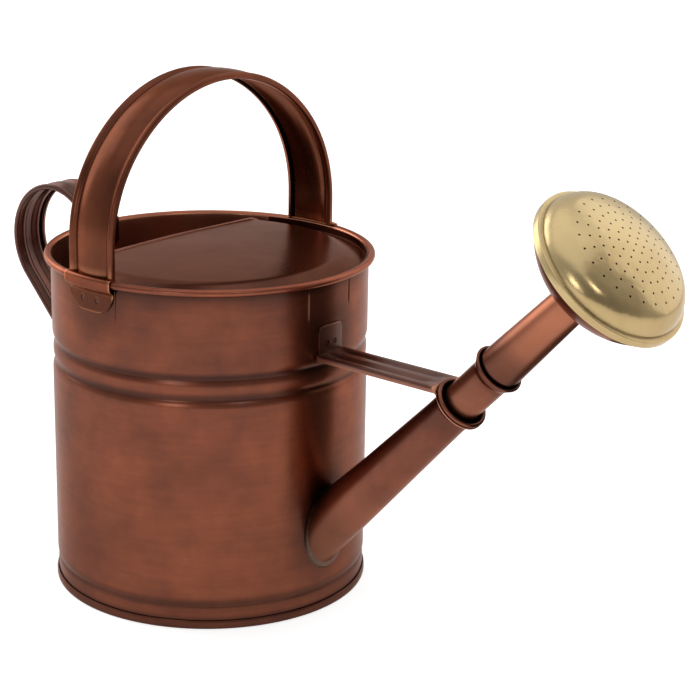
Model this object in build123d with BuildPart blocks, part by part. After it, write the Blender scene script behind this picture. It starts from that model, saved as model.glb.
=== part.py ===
from build123d import *
from math import asin, cos, degrees, radians, sin, sqrt, tan
import os

# A watering can of copper-finished steel sheet. The can stands on Z = 0 with its
# axis on Z, the spout points to +X, and the loop handle is on the -X side.
# Every piece is its own solid, in millimetres.

os.makedirs("parts", exist_ok=True)

# Stock and fits
sheet = 0.6  # thickness of the wall, pan, cover, spout and rose
strip_sheet = 0.8  # thickness of the handles and the brace
seat_gap = 0.1  # room between two pieces that are soldered or welded together
push_fit = 0.05  # radial play of a tube in its socket
weld_radius = 1.8
weld_sink = 0.3  # how far a weld lies below the strip's face

# Side wall
wall_radius = 95.0  # outside of the wall
can_height = 205.7  # bench to the top of the rolled rim
rim_roll = 2.2  # outside radius of the rolled rim
swage_drop = 59.3  # from the rim's top to the middle of the bead between the two grooves
swage_pitch = 6.3  # from the bead's crest to each groove
swage_depth = 1.8
swage_shoulder = 3.5  # from each groove to the plain wall beside it
foot_groove_height = 14.5
foot_groove_depth = 0.6
foot_step = 0.4  # how far the foot is drawn in below its groove

# Bottom pan
pan_height = 9.0  # bench to the middle of the pan's floor
pan_step_radius = 72.0
pan_step = 1.4
hem_height = 5.2
hem_bulge = 0.5
hem_bend = 0.8

# Cover over the front of the mouth
cover_edge = 33.0  # from the can's axis back to the straight edge
cover_flat = 8.0  # radius of the flat middle
cover_crown = 1.4  # the middle above the rim's top
cover_slope = 1.8  # fall from the flat middle to the shoulder
cover_shoulder = 12.0  # width of the shoulder, where the cover turns down to its trough
cover_shoulder_bend = 14.0
cover_fall = 7.2  # from the middle down to the trough
cover_trough = 3.4  # width of the trough beside the wall
cover_flange = 4.4
cover_hem = 1.3  # outside radius of the hem on the straight edge

# Carry handle, an arched strip over the mouth
handle_edge_span = 34.2  # between the outermost middles of its rolled edges
handle_reach = 104.3  # from the rim's top to the strip's middle line at its highest
handle_inset = 1.4  # the strip's middle line stands this far inside the wall
handle_leg = 16.3  # from the rim's top to the end of each straight leg
handle_shoulder = 83.0  # radius of the bend at each shoulder
handle_offset = -2.5  # the feet sit a little behind the can's axis
handle_crown = 2.2  # height of the crowned middle over the strip's line
handle_bead = 1.5  # height of the rolled edges over the strip's line
handle_curl = 1.9  # depth of the rolled edges below the strip's line
handle_tab_width = 36.4
handle_tab_drop = 20.5  # from the rim's top to the end of each tab
handle_tab_corner = 13.0
handle_weld_spacing = 12.0
handle_weld_drop = 13.2

# Loop handle behind the can
loop_edge_span = 24.2
loop_radius = 36.3
loop_reach = 32.5  # from the wall to the loop's centre
loop_drop = 17.7  # from the rim's top to the loop's centre
loop_slope = 46.8  # how steeply the straight run falls, in degrees
loop_rib = 2.4  # half the width of the middle rib's top
loop_bead = 1.05  # height of the rib and of the rolled edges
loop_curl = 1.7  # depth of the rolled edges below the strip's line
loop_tab_width = 26.0
loop_tab = 17.0  # length of each end that lies on the wall
loop_tab_corner = 5.0
hook_tilt = 0.8  # rise of the hook's top towards the inside, each way from its middle
loop_weld_spacing = 9.0
loop_weld_inset = 6.0  # from the tab's end to its welds

# Spout
spout_rise = 46.0  # angle above level
spout_entry = 52.4  # where its axis leaves the wall, above the bench
spout_root_radius = 15.9  # outside, at the wall
spout_mouth_radius = 12.1  # outside, at the socket
spout_mouth_drop = 54.39  # from the rim's top to the middle of the lower spout's mouth
spout_socket = 10.0
spout_inside = 2.0  # how far the spout's root stands inside the wall
spout_solder_width = 1.9
spout_solder_height = 1.4
bell_flare = 3.5  # length of the flare into a bell
lower_bell_step = 1.8  # how far the bell's sheet stands out from the socket's
lower_bell_length = 2.5
lower_lip = 1.0

# Brace between the wall and the spout's mouth
brace_edge_span = 24.2
brace_rib = 2.2  # half the width of the middle rib's top
brace_flange = 3.2
brace_groove = 1.4
brace_drop = 1.3  # from the lip's highest point down to the brace's top
brace_smooth = 5.0  # length beside the spout where the grooves have run out
brace_tab_width = 19.6
brace_tab_height = 16.5
brace_tab_corner = 3.0
brace_weld_spacing = 6.6
brace_weld_height = 5.5

# Extension tube between the lower spout and the rose
extension_insert = 21.0
extension_reach = 28.5  # from the lower mouth to the start of its own flare
upper_bell_step = 2.15  # how far the bell's sheet stands out from the tube's
upper_bell_length = 2.4
upper_lip = 0.6

# Rose
spigot_length = 27.0
spigot_shoulder = 4.2
stem_step = 1.8  # how far the stem stands out from its spigot, at the shoulder
stem_end_radius = 10.4  # outside, at the cup
stem_length = 71.5
stem_inside = 1.5  # how far the stem stands inside the cup
cup_depth = 24.0
cup_radius = 46.4  # outside of the cup's edge
cup_bow = 5.0  # how far the cup's wall bows out from a straight cone
cup_edge = 3.0  # length of the cup's straight edge
face_skirt = 3.8
face_flange = 3.0
face_step = 2.4
face_height = 18.6  # from the flange to the top of the dome
face_crown_radius = 96.0
face_crown_reach = 35.0  # radius at which the dome turns down to its step
hole_radius = 0.6
hole_ring_pitch = 5.4
hole_counts = (6, 12, 18, 24, 24, 24)

# Places worked out from the sizes above
wall_middle = wall_radius - sheet / 2
wall_inside = wall_radius - sheet
curl = rim_roll - sheet / 2
rim_radius = wall_middle + curl
rim_height = can_height - rim_roll
foot_middle = wall_middle - foot_step
swage_height = can_height - swage_drop
handle_top = can_height + handle_reach
handle_leg_top = can_height + handle_leg
tab_middle = wall_radius + seat_gap + strip_sheet / 2
tab_face = tab_middle + strip_sheet / 2
inner_tab_middle = wall_inside - seat_gap - strip_sheet / 2
over_rim = can_height + seat_gap + strip_sheet / 2
beside_rim = rim_radius + rim_roll + seat_gap + strip_sheet / 2

# The spout's axis lies in the XZ plane. On spout_plane, X is the distance along
# that axis from the can's axis, and Y is the radius.
spout_direction = Vector(cos(radians(spout_rise)), 0, sin(radians(spout_rise)))
spout_origin = Vector(0, 0, spout_entry - wall_radius * tan(radians(spout_rise)))
spout_axis = Axis(spout_origin, spout_direction)
spout_plane = Plane(origin=spout_origin, x_dir=spout_direction, z_dir=(0, -1, 0))
entry = wall_radius / cos(radians(spout_rise))
lower_mouth = entry + (can_height - spout_mouth_drop - spout_entry) / sin(radians(spout_rise))
socket_end = lower_mouth - lower_bell_length - bell_flare
socket_start = socket_end - spout_socket
spout_taper = socket_start - entry
lower_bell = spout_mouth_radius - sheet / 2 + lower_bell_step
extension_radius = spout_mouth_radius - sheet - push_fit
extension_end = lower_mouth + extension_reach
upper_bell = extension_radius - sheet / 2 + upper_bell_step
upper_mouth = extension_end + bell_flare + upper_bell_length
spigot_radius = extension_radius - sheet - push_fit
stem_radius = spigot_radius + stem_step
stem_start = extension_end + bell_flare + spigot_shoulder
stem_end = stem_start + stem_length
cup_start = stem_end - stem_inside
cup_end = cup_start + cup_depth
stem_taper = (stem_radius - stem_end_radius) / stem_length


def write(piece, name):
    """Label a finished piece and write it as its own STEP file."""
    piece.part.label = name
    export_step(piece.part, f"parts/{name}.step")


def cone_radius(distance):
    """Outside radius of the spout's tapered tube, this far along its axis."""
    taper = (spout_root_radius - spout_mouth_radius) / spout_taper
    return spout_root_radius - taper * (distance - entry)


def ring_tool(inner_radius, outer_radius, low, high):
    """An upright ring or disc about Z, kept aside to cut or trim with."""
    with BuildPart() as ring:
        with BuildSketch(Plane.XY.offset(low)):
            Circle(outer_radius)
            if inner_radius:
                Circle(inner_radius, mode=Mode.SUBTRACT)
        extrude(amount=high - low)
    return ring.part


def tab_tool(plane, width, low, high, corner, rounded_end, both=False):
    """A block with two rounded corners at one end, kept aside to trim a tab."""
    with BuildPart() as block:
        with BuildSketch(plane) as outline:
            with Locations((0, (low + high) / 2)):
                Rectangle(width, high - low)
            fillet(outline.vertices().group_by(Axis.Y)[rounded_end], corner)
        extrude(amount=wall_radius + loop_reach, both=both)
    return block.part


def weld_tool(plane, spacing, height, inner_radius, outer_radius, both=False):
    """Two weld nuggets side by side in a tab, with ends that follow the wall."""
    band = ring_tool(inner_radius, outer_radius, height - 3, height + 3)
    with BuildPart() as nuggets:
        with BuildSketch(plane):
            with Locations((-spacing / 2, height), (spacing / 2, height)):
                Circle(weld_radius)
        extrude(amount=wall_radius + loop_reach, both=both)
        add(band, mode=Mode.INTERSECT)
    return nuggets.part


def strip_section(points, radii):
    """Section of a strip: half of its line, from the middle out, and the mirror."""
    half = [(-x, y) for x, y in reversed(points)]
    with BuildSketch() as section:
        with BuildLine():
            FilletPolyline(*half, *points, radius=[*reversed(radii), *radii])
            offset(amount=strip_sheet / 2, side=Side.BOTH)
        make_face()
    return section.sketch


# Body shell: one sheet rolled up and seamed, with two swaged grooves and a bead
# between them, a smaller groove over the foot, and its mouth curled over a wire.
with BuildPart() as body_shell:
    with BuildSketch(Plane.XZ):
        with BuildLine():
            FilletPolyline(
                (foot_middle, 2 * sheet),
                (foot_middle, foot_groove_height - 2.3),
                (foot_middle - foot_groove_depth, foot_groove_height),
                (wall_middle, foot_groove_height + 3),
                (wall_middle, swage_height - swage_pitch - swage_shoulder),
                (wall_middle - swage_depth, swage_height - swage_pitch),
                (wall_middle + sheet / 2, swage_height),
                (wall_middle - swage_depth, swage_height + swage_pitch),
                (wall_middle, swage_height + swage_pitch + swage_shoulder),
                (wall_middle, rim_height),
                radius=[3, 2, 4, 6, 2, 9, 2, 6],
            )
            CenterArc((rim_radius, rim_height), curl, 180, -300)
            offset(amount=sheet / 2, side=Side.BOTH)
        make_face()
    revolve(axis=Axis.Z)
    # The hole that the spout's root passes through.
    with BuildSketch(spout_plane):
        with BuildLine():
            Polyline(
                (entry / 2, 0),
                (entry / 2, cone_radius(entry / 2) + seat_gap),
                (socket_start, cone_radius(socket_start) + seat_gap),
                (socket_start, 0),
                close=True,
            )
        make_face()
    revolve(axis=spout_axis, mode=Mode.SUBTRACT)
write(body_shell, "body_shell")

# Rim wire: the steel wire inside the rolled rim.
with BuildPart() as rim_wire:
    with BuildSketch(Plane.XZ):
        with Locations((rim_radius, rim_height)):
            Circle(rim_roll - sheet - seat_gap)
    revolve(axis=Axis.Z)
write(rim_wire, "rim_wire")

# Bottom pan: a pressed disc with one stiffening step. Its edge turns down inside
# the wall, passes under the wall's end, and is hemmed up the outside as the foot.
with BuildPart() as base_plate:
    leg_inside = foot_middle - sheet - seat_gap
    leg_outside = foot_middle + sheet + seat_gap
    with BuildSketch(Plane.XZ):
        with BuildLine():
            FilletPolyline(
                (-pan_step_radius / 2, pan_height + pan_step),
                (pan_step_radius, pan_height + pan_step),
                (pan_step_radius + 2 * pan_step, pan_height),
                (leg_inside, pan_height),
                (leg_inside, sheet / 2),
                (leg_outside + hem_bulge, sheet / 2),
                (leg_outside + hem_bulge, hem_height * 0.6),
                (leg_outside, hem_height),
                radius=[1.5, 1.5, 2, hem_bend, hem_bend, 2],
            )
            offset(amount=sheet / 2, side=Side.BOTH)
        make_face()
        with Locations((wall_radius, pan_height)):
            Rectangle(2 * wall_radius, 4 * pan_height, mode=Mode.INTERSECT)
    revolve(axis=Axis.Z)
write(base_plate, "base_plate")

# Base solder: the run inside the can that closes the corner of pan and wall.
with BuildPart() as base_solder:
    corner = foot_middle - sheet / 2
    with BuildSketch(Plane.XZ):
        with BuildLine():
            Polyline(
                (corner, pan_height - 1.8),
                (corner, pan_height + 2.2),
                (corner - 3.2, pan_height + sheet / 2),
                (corner - 2.4, pan_height),
                (corner - 1, pan_height - 0.6),
                close=True,
            )
        make_face()
    revolve(axis=Axis.Z)
    add(base_plate.part, mode=Mode.SUBTRACT)
write(base_solder, "base_solder")

# Top cover: nearly flat over the front of the mouth, with a rounded shoulder, a
# trough and an upturned flange along the wall, and a wired hem along its straight
# edge.
cover_reach = wall_inside - cover_trough
cover_top = can_height + cover_crown - sheet / 2
cover_low = cover_top - cover_fall
cover_turn = cover_reach - cover_shoulder
cover_flange_middle = wall_inside - seat_gap - sheet / 2
flange_top = cover_low + cover_flange
hem_reach = sqrt(cover_reach**2 - cover_edge**2)
hem_turn = sqrt(cover_turn**2 - cover_edge**2)
hem_top = cover_top - cover_slope * (cover_edge - cover_flat) / (cover_turn - cover_flat)

with BuildPart() as top_cover:
    with BuildSketch(Plane.XZ):
        with BuildLine():
            Line((-2 * cover_flat, cover_top), (cover_flat, cover_top))
            FilletPolyline(
                (cover_flat, cover_top),
                (cover_turn, cover_top - cover_slope),
                (cover_reach, cover_low),
                (cover_flange_middle, cover_low - sheet / 2),
                (cover_flange_middle, flange_top + sheet),
                radius=[cover_shoulder_bend, 3, 1.2],
            )
            offset(amount=sheet / 2, side=Side.BOTH)
        make_face()
        with Locations((wall_radius, can_height)):
            Rectangle(2 * wall_radius, can_height, mode=Mode.INTERSECT)
        with Locations((cover_flange_middle, flange_top + sheet)):
            Rectangle(4 * sheet, 2 * sheet, mode=Mode.SUBTRACT)
    revolve(axis=Axis.Z)
    split(bisect_by=Plane(origin=(cover_hem - sheet / 2 - cover_edge, 0, 0), z_dir=(1, 0, 0)))
    with BuildLine(Plane.YZ.offset(-cover_edge)) as hem_line:
        FilletPolyline(
            (-hem_reach, cover_low),
            (-hem_turn, cover_top - cover_slope),
            (0, hem_top),
            (hem_turn, cover_top - cover_slope),
            (hem_reach, cover_low),
            radius=[cover_shoulder_bend, 20 * cover_shoulder_bend, cover_shoulder_bend],
        )
    with BuildSketch(Plane(origin=hem_line.line @ 0, z_dir=hem_line.line % 0)):
        Circle(cover_hem)
        Circle(cover_hem - sheet, mode=Mode.SUBTRACT)
    sweep(path=hem_line.line)
write(top_cover, "top_cover")

# Cover wire: it stiffens the hem of the cover's straight edge.
with BuildPart() as cover_wire:
    with BuildSketch(Plane(origin=hem_line.line @ 0, z_dir=hem_line.line % 0)):
        Circle(cover_hem - sheet - seat_gap)
    sweep(path=hem_line.line)
write(cover_wire, "cover_wire")

# Cover solder: the run under the trough that holds the cover to the wall.
with BuildPart() as cover_solder:
    with BuildSketch(Plane.XZ):
        with BuildLine():
            Polyline(
                (wall_inside, cover_low + sheet),
                (wall_inside, cover_low - 3 * sheet),
                (wall_inside - 3 * sheet, cover_low - sheet / 2),
                close=True,
            )
        make_face()
    revolve(axis=Axis.Z)
    split(bisect_by=Plane(origin=(cover_hem - cover_edge, 0, 0), z_dir=(1, 0, 0)))
    add(top_cover.part, mode=Mode.SUBTRACT)
write(cover_solder, "cover_solder")


# Carry handle: a steel strip with a crowned middle and rolled edges, bent to an
# arch. Each foot is flattened, pressed over the rolled rim, and welded outside.
handle_span = wall_radius - handle_inset
handle_half = handle_edge_span / 2
handle_tab_end = can_height - handle_tab_drop
rise = handle_top - handle_leg_top
inset = handle_span - handle_shoulder
handle_crest = (rise**2 + inset**2 - handle_shoulder**2) / (2 * (rise - handle_shoulder))
handle_turn = degrees(asin(inset / (handle_crest - handle_shoulder)))
handle_side = Plane(origin=(handle_offset, 0, 0), x_dir=(1, 0, 0), z_dir=(0, -1, 0))
handle_welds = weld_tool(
    handle_side,
    handle_weld_spacing,
    can_height - handle_weld_drop,
    wall_radius,
    tab_face,
    both=True,
)
handle_blank = tab_tool(
    handle_side,
    handle_tab_width,
    handle_tab_end,
    can_height + 2 * strip_sheet,
    handle_tab_corner,
    rounded_end=0,
    both=True,
)

handle_section = strip_section(
    [
        (handle_half * 0.35, handle_crown),
        (handle_half - 4.2, -0.3),
        (handle_half - 2.5, handle_bead),
        (handle_half, handle_bead),
        (handle_half, -handle_curl),
        (handle_half - 2.3, -handle_curl),
    ],
    [8, 1.0, 1.2, 1.2, 1.2],
)

with BuildPart() as handle_feet:
    with BuildSketch(Plane.XZ):
        with BuildLine():
            FilletPolyline(
                (handle_span - 3 * strip_sheet, over_rim - 2 * strip_sheet),
                (handle_span + strip_sheet, over_rim),
                (beside_rim, over_rim),
                (beside_rim, rim_height - rim_roll - strip_sheet),
                (tab_middle, rim_height - 3 * rim_roll),
                (tab_middle, handle_tab_end - strip_sheet),
                radius=[0.8, rim_roll, rim_roll, 2],
            )
            offset(amount=strip_sheet / 2, side=Side.BOTH)
        make_face()
        with Locations((1.5 * handle_span, can_height)):
            Rectangle(handle_span, can_height, mode=Mode.INTERSECT)
    revolve(axis=Axis.Z)
    add(handle_blank, mode=Mode.INTERSECT)

with BuildPart() as carry_handle:
    with BuildLine(Plane.YZ.offset(handle_offset)) as arch:
        Line((-handle_span, over_rim), (-handle_span, handle_leg_top))
        CenterArc((-inset, handle_leg_top), handle_shoulder, 180, handle_turn - 90)
        CenterArc((0, handle_top - handle_crest), handle_crest, 90 + handle_turn, -2 * handle_turn)
        CenterArc((inset, handle_leg_top), handle_shoulder, 90 - handle_turn, handle_turn - 90)
        Line((handle_span, handle_leg_top), (handle_span, over_rim))
    with BuildSketch(
        Plane(origin=(handle_offset, -handle_span, over_rim), x_dir=(-1, 0, 0), z_dir=(0, 0, 1))
    ):
        add(handle_section)
    sweep(path=arch.line)
    add(handle_feet.part)
    add(handle_welds, mode=Mode.SUBTRACT)
write(carry_handle, "carry_handle")

# Carry handle welds: two spot welds through each foot's tab, sunk a little.
with BuildPart() as carry_handle_welds:
    add(handle_welds)
    add(ring_tool(0, tab_face - weld_sink, 0, can_height), mode=Mode.INTERSECT)
write(carry_handle_welds, "carry_handle_welds")

# Loop handle: a strip with two grooves and rolled edges. It leaves the wall in a
# straight run, turns over in a loop, and hooks over the rim to the inside.
loop_x = -wall_radius - loop_reach
loop_z = can_height - loop_drop
loop_half = loop_edge_span / 2
slope = radians(loop_slope)
run_top = Vector(loop_x - loop_radius * sin(slope), 0, loop_z - loop_radius * cos(slope))
run_length = (-wall_radius + strip_sheet - run_top.X) / cos(slope)
run_foot = run_top + Vector(cos(slope), 0, -sin(slope)) * run_length
landing = degrees(asin((over_rim - 2 * strip_sheet - loop_z) / loop_radius))
loop_side = Plane(origin=(0, 0, 0), x_dir=(0, -1, 0), z_dir=(-1, 0, 0))
loop_outer_end = run_foot.Z - loop_tab
loop_inner_end = can_height - loop_tab
loop_outer_welds = weld_tool(
    loop_side, loop_weld_spacing, loop_outer_end + loop_weld_inset, wall_radius, tab_face
)
loop_inner_welds = weld_tool(
    loop_side,
    loop_weld_spacing,
    loop_inner_end + loop_weld_inset,
    inner_tab_middle - strip_sheet / 2,
    wall_inside,
)
loop_outer_blank = tab_tool(
    loop_side, loop_tab_width, loop_outer_end, run_foot.Z + 3, loop_tab_corner, rounded_end=0
)
loop_inner_blank = tab_tool(
    loop_side, loop_tab_width, loop_inner_end, handle_top, loop_tab_corner, rounded_end=0
)

loop_section = strip_section(
    [
        (loop_rib, loop_bead),
        (loop_rib + 2.6, -loop_bead),
        (loop_rib + 4.4, -loop_bead),
        (loop_half - 2.4, loop_bead),
        (loop_half, loop_bead),
        (loop_half, -loop_curl),
        (loop_half - 1.8, -loop_curl),
    ],
    [1.6, 1.0, 1.0, 1.4, 1.0, 0.8],
)

with BuildPart() as loop_outer_tab:
    add(ring_tool(tab_middle - strip_sheet / 2, tab_face, 0, can_height))
    add(loop_outer_blank, mode=Mode.INTERSECT)

with BuildPart() as loop_hook:
    with BuildSketch(Plane.XZ):
        with BuildLine():
            FilletPolyline(
                (rim_radius + 2 * rim_roll, over_rim - hook_tilt),
                (inner_tab_middle, over_rim + hook_tilt),
                (inner_tab_middle, loop_inner_end - strip_sheet),
                radius=1.2,
            )
            offset(amount=strip_sheet / 2, side=Side.BOTH)
        make_face()
        with Locations((0, can_height)):
            Rectangle(2 * (rim_radius + rim_roll), can_height, mode=Mode.INTERSECT)
    revolve(axis=Axis.Z)
    add(loop_inner_blank, mode=Mode.INTERSECT)

with BuildPart() as rear_handle:
    with BuildLine(Plane.XZ) as loop:
        Line((run_foot.X, run_foot.Z), (run_top.X, run_top.Z))
        CenterArc((loop_x, loop_z), loop_radius, 270 - loop_slope, landing + loop_slope - 270)
    with BuildSketch(Plane(origin=run_foot, x_dir=(0, 1, 0), z_dir=run_top - run_foot)):
        add(loop_section)
    sweep(path=loop.line)
    add(ring_tool(0, wall_radius + seat_gap, 0, can_height + seat_gap), mode=Mode.SUBTRACT)
    add(
        ring_tool(0, beside_rim - strip_sheet / 2, rim_height - 2 * rim_roll, can_height + seat_gap),
        mode=Mode.SUBTRACT,
    )
    add(loop_outer_tab.part)
    add(loop_hook.part)
    add(loop_outer_welds, mode=Mode.SUBTRACT)
    add(loop_inner_welds, mode=Mode.SUBTRACT)
write(rear_handle, "rear_handle")

# Loop handle welds: two through the tab outside the wall, two through the inner.
with BuildPart() as rear_handle_welds:
    add(loop_outer_welds)
    add(ring_tool(0, tab_face - weld_sink, 0, can_height), mode=Mode.INTERSECT)
    add(loop_inner_welds)
write(rear_handle_welds, "rear_handle_welds")

# Lower spout: a tapered tube with a straight socket and a belled, rolled mouth.
# Its root is trimmed to stand just inside the wall.
root_start = entry - 1.6 * spout_root_radius
with BuildPart() as spout_lower:
    with BuildSketch(spout_plane):
        with BuildLine():
            FilletPolyline(
                (root_start, cone_radius(root_start) - sheet / 2),
                (socket_start, spout_mouth_radius - sheet / 2),
                (socket_end, spout_mouth_radius - sheet / 2),
                (socket_end + bell_flare, lower_bell),
                (lower_mouth, lower_bell),
                radius=[10, 3, 3],
            )
            CenterArc((lower_mouth, lower_bell + lower_lip), lower_lip, 270, 250)
            offset(amount=sheet / 2, side=Side.BOTH)
        make_face()
    revolve(axis=spout_axis)
    add(ring_tool(0, wall_inside - spout_inside, 0, can_height), mode=Mode.SUBTRACT)
write(spout_lower, "spout_lower")

# Spout solder: the run round the joint of spout and wall, outside.
with BuildPart() as spout_solder:
    with BuildSketch(spout_plane):
        with BuildLine():
            Polyline(
                (root_start, cone_radius(root_start)),
                (root_start, cone_radius(root_start) + spout_solder_width),
                (socket_start, cone_radius(socket_start) + spout_solder_width),
                (socket_start, cone_radius(socket_start)),
                close=True,
            )
        make_face()
    revolve(axis=spout_axis)
    add(
        ring_tool(wall_radius, wall_radius + spout_solder_height, 0, can_height),
        mode=Mode.INTERSECT,
    )
    add(spout_lower.part, mode=Mode.SUBTRACT)
write(spout_solder, "spout_solder")

# Spout brace: a channel-edged strip with two grooves. A tab at one end is welded
# to the wall. The other end bends square to the spout and has an eye, which sits
# on the spout's bell behind the rolled lip.
lip_radius = lower_bell + 2 * lower_lip + sheet / 2
lip_height = (spout_origin + spout_direction * lower_mouth).Z + lip_radius * cos(radians(spout_rise))
brace_top = lip_height - brace_drop
brace_line = brace_top - strip_sheet / 2
brace_half = brace_edge_span / 2
eye_front = lower_mouth - lower_lip - sheet / 2 - seat_gap
eye_plane = Plane(
    origin=spout_origin + spout_direction * eye_front, x_dir=(0, 1, 0), z_dir=spout_direction
)
eye_reach = (brace_top - eye_plane.origin.Z) / cos(radians(spout_rise))
brace_side = Plane(origin=(0, 0, 0), x_dir=(0, 1, 0), z_dir=(1, 0, 0))
brace_welds_tool = weld_tool(
    brace_side, brace_weld_spacing, brace_top + brace_weld_height, wall_radius, tab_face
)
brace_blank = tab_tool(
    brace_side,
    brace_tab_width,
    brace_line,
    brace_top + brace_tab_height,
    brace_tab_corner,
    rounded_end=-1,
)

brace_section = strip_section(
    [
        (brace_rib, 0),
        (brace_rib + 2.4, -brace_groove),
        (brace_rib + 4.0, -brace_groove),
        (brace_rib + 6.4, 0),
        (brace_half, 0),
        (brace_half, -brace_flange),
    ],
    [0.8, 0.7, 0.7, 0.8, 0.8],
)

with BuildPart() as brace_tab:
    add(ring_tool(tab_middle - strip_sheet / 2, tab_face, 0, can_height))
    add(brace_blank, mode=Mode.INTERSECT)

brace_flat_section = strip_section([(brace_half, 0), (brace_half, -brace_flange)], [0.8])
brace_end = eye_plane.origin.X - eye_reach * sin(radians(spout_rise))
brace_groove_end = brace_end - brace_smooth

with BuildPart() as spout_brace:
    with BuildSketch(Plane.YZ):
        with Locations((0, brace_line)):
            add(brace_section)
    extrude(amount=brace_groove_end)
    add(ring_tool(0, wall_radius + seat_gap, 0, can_height), mode=Mode.SUBTRACT)
    with BuildSketch(Plane.YZ.offset(brace_groove_end)):
        with Locations((0, brace_line)):
            add(brace_flat_section)
    extrude(amount=wall_radius)
    split(bisect_by=eye_plane, keep=Keep.BOTTOM)
    with BuildSketch(eye_plane):
        Circle(lip_radius)
        with Locations((0, eye_reach / 2)):
            Rectangle(brace_edge_span + strip_sheet, eye_reach)
        Circle(lower_bell + sheet / 2 + seat_gap, mode=Mode.SUBTRACT)
    extrude(amount=-strip_sheet)
    add(brace_tab.part)
    add(brace_welds_tool, mode=Mode.SUBTRACT)
write(spout_brace, "spout_brace")

# Brace welds: two spot welds through the brace's tab.
with BuildPart() as brace_welds:
    add(brace_welds_tool)
    add(ring_tool(0, tab_face - weld_sink, 0, can_height), mode=Mode.INTERSECT)
write(brace_welds, "brace_welds")

# Extension: a short tube that pushes into the lower spout and can be turned there.
with BuildPart() as spout_extension:
    with BuildSketch(spout_plane):
        with BuildLine():
            FilletPolyline(
                (lower_mouth - extension_insert, extension_radius - sheet / 2),
                (extension_end, extension_radius - sheet / 2),
                (extension_end + bell_flare, upper_bell),
                (upper_mouth, upper_bell),
                radius=[3, 3],
            )
            CenterArc((upper_mouth, upper_bell + upper_lip), upper_lip, 270, 230)
            offset(amount=sheet / 2, side=Side.BOTH)
        make_face()
    revolve(axis=spout_axis)
write(spout_extension, "spout_extension")

# Rose stem: a tapered tube with a reduced end, the spigot, that pushes into the
# extension until its shoulder meets the flare.
spigot_end = stem_start - spigot_shoulder
with BuildPart() as rose_stem:
    with BuildSketch(spout_plane):
        with BuildLine():
            FilletPolyline(
                (spigot_end - spigot_length, spigot_radius - sheet / 2),
                (spigot_end, spigot_radius - sheet / 2),
                (stem_start, stem_radius - sheet / 2),
                (stem_end, stem_end_radius - sheet / 2),
                radius=[2.5, 2.5],
            )
            offset(amount=sheet / 2, side=Side.BOTH)
        make_face()
    revolve(axis=spout_axis)
write(rose_stem, "rose_stem")

# Rose cup: the shallow bowl behind the face, with a hole for the stem.
cup_hole = stem_end_radius + stem_taper * stem_inside + seat_gap
with BuildPart() as rose_cup:
    with BuildSketch(spout_plane):
        with BuildLine():
            bowl = SagittaArc(
                (cup_start, cup_hole + sheet / 2), (cup_end - cup_edge, cup_radius - sheet / 2), -cup_bow
            )
            Line(bowl @ 1, (cup_end, cup_radius - sheet / 2))
            offset(amount=sheet / 2, side=Side.BOTH)
        make_face()
    revolve(axis=spout_axis)
write(rose_cup, "rose_cup")

# Rose face: a perforated brass dome with a step, a flat flange, and a skirt that
# is rolled back over the cup's edge.
skirt_radius = cup_radius + seat_gap + sheet / 2
flange_place = cup_end + sheet + seat_gap
dome_base_radius = skirt_radius - face_flange
face_apex = flange_place + face_height
crown_fall = face_crown_radius - sqrt(face_crown_radius**2 - face_crown_reach**2)
with BuildPart() as rose_face:
    with BuildSketch(spout_plane):
        with BuildLine():
            crown = ThreePointArc(
                (face_apex - crown_fall, -face_crown_reach),
                (face_apex, 0),
                (face_apex - crown_fall, face_crown_reach),
            )
            TangentArc(
                crown @ 1, (flange_place + face_step, dome_base_radius), tangent=crown % 1
            )
            FilletPolyline(
                (flange_place + face_step, dome_base_radius),
                (flange_place, dome_base_radius),
                (flange_place, skirt_radius),
                (flange_place - face_skirt, skirt_radius),
                radius=[0.6, 0.7],
            )
            offset(amount=sheet / 2, side=Side.BOTH)
        make_face()
        with Locations((flange_place, cup_radius)):
            Rectangle(4 * face_height, 2 * cup_radius, mode=Mode.INTERSECT)
    revolve(axis=spout_axis)
    with BuildSketch(
        Plane(origin=spout_origin + spout_direction * flange_place, x_dir=(0, 1, 0), z_dir=spout_direction)
    ):
        Circle(hole_radius)
        for ring, count in enumerate(hole_counts, start=1):
            with PolarLocations(ring * hole_ring_pitch, count):
                Circle(hole_radius)
    extrude(amount=2 * face_height, mode=Mode.SUBTRACT)
write(rose_face, "rose_face")

# Rose solder: the run that joins the stem to the back of the cup.
with BuildPart() as rose_solder:
    with BuildSketch(spout_plane):
        with BuildLine():
            Polyline(
                (cup_start - 2.2, stem_end_radius - sheet / 2),
                (cup_start, stem_end_radius - sheet / 2),
                (cup_start, cup_hole + 2.2),
                close=True,
            )
        make_face()
    revolve(axis=spout_axis)
    add(rose_cup.part, mode=Mode.SUBTRACT)
    add(rose_stem.part, mode=Mode.SUBTRACT)
write(rose_solder, "rose_solder")
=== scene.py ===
from math import asin, atan2, cos, degrees, exp, hypot, pi, radians, sin, sqrt

import bmesh
import bpy
from mathutils import Matrix, Vector


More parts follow.
